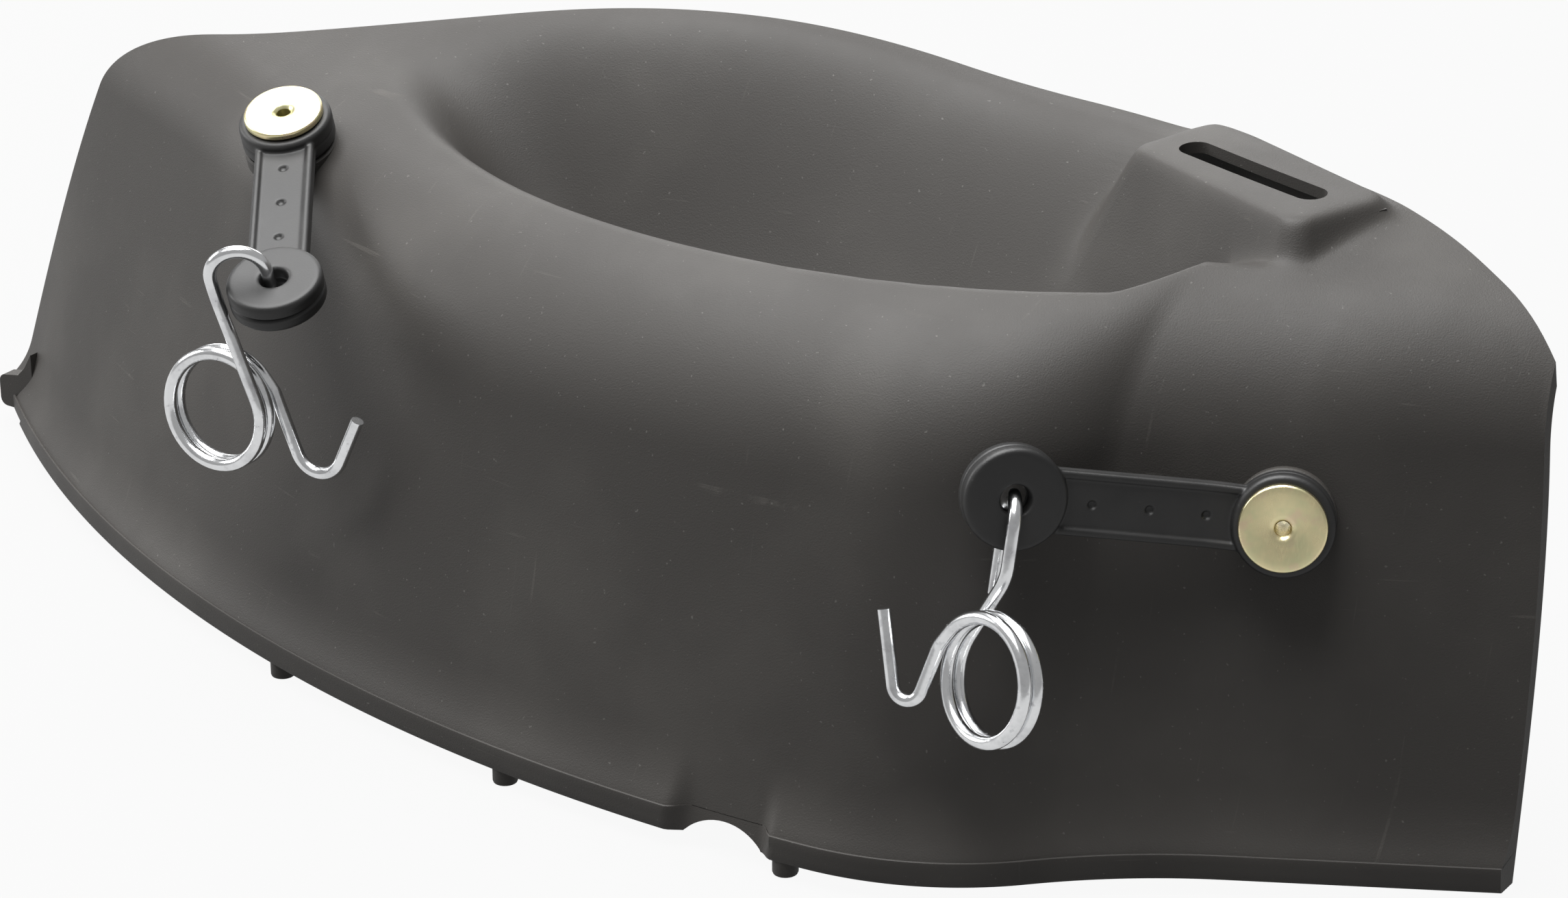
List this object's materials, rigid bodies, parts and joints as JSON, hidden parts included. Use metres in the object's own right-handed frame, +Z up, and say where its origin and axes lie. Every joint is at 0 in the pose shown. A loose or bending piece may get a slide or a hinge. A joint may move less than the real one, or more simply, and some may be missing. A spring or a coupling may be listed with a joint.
{
  "type": "mower mulching chute cover",
  "caption": "Thin moulded cover for a mower's side chute: long curved front wall, bowl in its top, slotted tower, pegs under the rim, and rubber straps with hooked wire springs.",
  "frame": {"origin": "middle of the footprint's bounding box, at the level of the pegs' lower ends", "axes": "+X along the cover towards the end with the slotted tower, -Y out through the curved front wall, +Y back towards the mower, +Z up"},
  "size_m": [0.5316, 0.1776, 0.1631],
  "materials": {
    "moulding": "fine matt mould grain, lightly scuffed",
    "strap_rubber": "satin",
    "rivet_zinc": "yellow zinc plate",
    "spring_wire": "bright zinc plate"
  },
  "bodies": {
    "cover": {"cover_shell": "moulding", "left_rivet": "rivet_zinc", "right_rivet": "rivet_zinc", "left_rivet_washer": "rivet_zinc", "right_rivet_washer": "rivet_zinc"},
    "left_strap_body": {"left_strap": "strap_rubber"},
    "right_strap_body": {"right_strap": "strap_rubber"},
    "left_spring_body": {"left_hook_spring": "spring_wire"},
    "right_spring_body": {"right_hook_spring": "spring_wire"}
  },
  "joints": [
    {"name": "left_strap_swivel", "type": "hinge", "parent": "cover", "child": "left_strap_body", "pos_m": [-0.10104, -0.0185, 0.1337], "axis": [0.089, -0.3418, 0.9355], "range_deg": [-60, 2]},
    {"name": "right_strap_swivel", "type": "hinge", "parent": "cover", "child": "right_strap_body", "pos_m": [0.20436, -0.007, 0.0948], "axis": [0.4261, -0.8792, 0.2131], "range_deg": [-30, 30]},
    {"name": "left_spring_swing", "type": "hinge", "parent": "left_strap_body", "child": "left_spring_body", "pos_m": [-0.0621, -0.07261, 0.1183], "axis": [0.089, -0.3418, 0.9355], "range_deg": [-45, 10]},
    {"name": "right_spring_swing", "type": "hinge", "parent": "right_strap_body", "child": "right_spring_body", "pos_m": [0.15493, -0.05482, 0.10587], "axis": [0.672, -0.7192, 0.1766], "range_deg": [-20, 20]}
  ]
}
